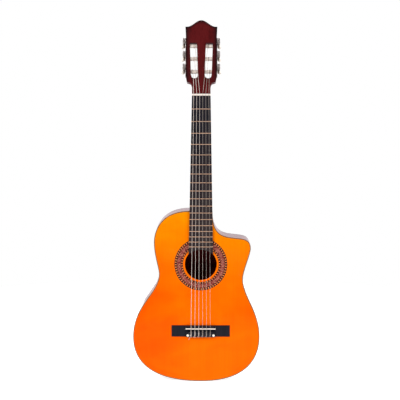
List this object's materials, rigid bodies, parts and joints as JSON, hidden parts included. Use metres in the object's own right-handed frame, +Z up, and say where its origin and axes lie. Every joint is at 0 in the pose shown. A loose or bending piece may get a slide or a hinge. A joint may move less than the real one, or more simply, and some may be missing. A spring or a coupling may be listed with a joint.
{
  "type": "classical guitar",
  "caption": "Small nylon-string guitar with a single cutaway, a slotted headstock with geared tuners, a tie bridge and a mosaic rosette",
  "frame": {"origin": "on the neck centre line, in the plane of the soundboard's front face, at the lowest point of the tail", "axes": "+Z up the neck, -Y out of the soundboard, +X towards the treble side and the cutaway"},
  "size_m": [0.3425, 0.103, 0.9733],
  "materials": {
    "orange_lacquer": "gloss orange lacquer over spruce",
    "red_brown_lacquer": "gloss dark red-brown lacquer",
    "bare_spruce": "bare sanded softwood",
    "black_hardwood": "black stained hardwood, satin",
    "dark_binding": "dark brown plastic strip under lacquer",
    "rosette_mosaic": "red and cream mosaic inlay under lacquer",
    "ivory_plastic": "cream plastic",
    "pearl_plastic": "pearl plastic",
    "clear_nylon": "clear nylon",
    "wound_silver": "silver-plated round winding",
    "nickel_plate": "nickel-plated steel",
    "brass": "brass"
  },
  "bodies": {
    "guitar": {"soundboard": "orange_lacquer", "rosette": "rosette_mosaic", "back_plate": "red_brown_lacquer", "side_bass": "red_brown_lacquer", "side_treble": "red_brown_lacquer", "top_binding": "dark_binding", "back_binding": "dark_binding", "top_lining": "bare_spruce", "back_lining": "bare_spruce", "neck_block": "bare_spruce", "tail_block": "bare_spruce", "fan_brace_1": "bare_spruce", "fan_brace_2": "bare_spruce", "fan_brace_3": "bare_spruce", "fan_brace_4": "bare_spruce", "fan_brace_5": "bare_spruce", "upper_bar": "bare_spruce", "lower_bar": "bare_spruce", "back_bar_1": "bare_spruce", "back_bar_2": "bare_spruce", "back_bar_3": "bare_spruce", "bridge_plate": "bare_spruce", "neck": "red_brown_lacquer", "headplate": "red_brown_lacquer", "heel_cap": "dark_binding", "fingerboard": "black_hardwood", "nut": "ivory_plastic", "bridge": "black_hardwood", "saddle": "ivory_plastic", "pearl_cap_bass": "pearl_plastic", "pearl_cap_treble": "pearl_plastic", "string_1": "clear_nylon", "string_2": "clear_nylon", "string_3": "clear_nylon", "string_4": "wound_silver", "string_5": "wound_silver", "string_6": "wound_silver", "tuner_plate_bass": "nickel_plate", "tuner_plate_treble": "nickel_plate"},
    "roller_1": {"roller_1": "ivory_plastic", "gear_1": "brass"},
    "button_1": {"button_1": "pearl_plastic"},
    "roller_2": {"roller_2": "ivory_plastic", "gear_2": "brass"},
    "button_2": {"button_2": "pearl_plastic"},
    "roller_3": {"roller_3": "ivory_plastic", "gear_3": "brass"},
    "button_3": {"button_3": "pearl_plastic"},
    "roller_4": {"roller_4": "ivory_plastic", "gear_4": "brass"},
    "button_4": {"button_4": "pearl_plastic"},
    "roller_5": {"roller_5": "ivory_plastic", "gear_5": "brass"},
    "button_5": {"button_5": "pearl_plastic"},
    "roller_6": {"roller_6": "ivory_plastic", "gear_6": "brass"},
    "button_6": {"button_6": "pearl_plastic"}
  },
  "joints": [
    {"name": "button_turn_1", "type": "hinge", "parent": "guitar", "child": "button_1", "pos_m": [0.0459, 0.02321, 0.84388], "axis": [0, -0.9781, 0.2079], "continuous": true},
    {"name": "roller_turn_1", "type": "hinge", "parent": "guitar", "child": "roller_1", "pos_m": [0.0459, 0.02151, 0.83586], "axis": [1, 0, 0], "continuous": true},
    {"name": "button_turn_2", "type": "hinge", "parent": "guitar", "child": "button_2", "pos_m": [0.0459, 0.03049, 0.87812], "axis": [0, -0.9781, 0.2079], "continuous": true},
    {"name": "roller_turn_2", "type": "hinge", "parent": "guitar", "child": "roller_2", "pos_m": [0.0459, 0.02879, 0.8701], "axis": [1, 0, 0], "continuous": true},
    {"name": "button_turn_3", "type": "hinge", "parent": "guitar", "child": "button_3", "pos_m": [0.0459, 0.03777, 0.91235], "axis": [0, -0.9781, 0.2079], "continuous": true},
    {"name": "roller_turn_3", "type": "hinge", "parent": "guitar", "child": "roller_3", "pos_m": [0.0459, 0.03606, 0.90433], "axis": [1, 0, 0], "continuous": true},
    {"name": "button_turn_4", "type": "hinge", "parent": "guitar", "child": "button_4", "pos_m": [-0.0459, 0.03777, 0.91235], "axis": [0, -0.9781, 0.2079], "continuous": true},
    {"name": "roller_turn_4", "type": "hinge", "parent": "guitar", "child": "roller_4", "pos_m": [-0.0459, 0.03606, 0.90433], "axis": [1, 0, 0], "continuous": true},
    {"name": "button_turn_5", "type": "hinge", "parent": "guitar", "child": "button_5", "pos_m": [-0.0459, 0.03049, 0.87812], "axis": [0, -0.9781, 0.2079], "continuous": true},
    {"name": "roller_turn_5", "type": "hinge", "parent": "guitar", "child": "roller_5", "pos_m": [-0.0459, 0.02879, 0.8701], "axis": [1, 0, 0], "continuous": true},
    {"name": "button_turn_6", "type": "hinge", "parent": "guitar", "child": "button_6", "pos_m": [-0.0459, 0.02321, 0.84388], "axis": [0, -0.9781, 0.2079], "continuous": true},
    {"name": "roller_turn_6", "type": "hinge", "parent": "guitar", "child": "roller_6", "pos_m": [-0.0459, 0.02151, 0.83586], "axis": [1, 0, 0], "continuous": true}
  ],
  "couplings": [
    {"joint": "button_turn_1", "follows": "roller_turn_1", "ratio": -14},
    {"joint": "button_turn_2", "follows": "roller_turn_2", "ratio": -14},
    {"joint": "button_turn_3", "follows": "roller_turn_3", "ratio": -14},
    {"joint": "button_turn_4", "follows": "roller_turn_4", "ratio": 14},
    {"joint": "button_turn_5", "follows": "roller_turn_5", "ratio": 14},
    {"joint": "button_turn_6", "follows": "roller_turn_6", "ratio": 14}
  ]
}
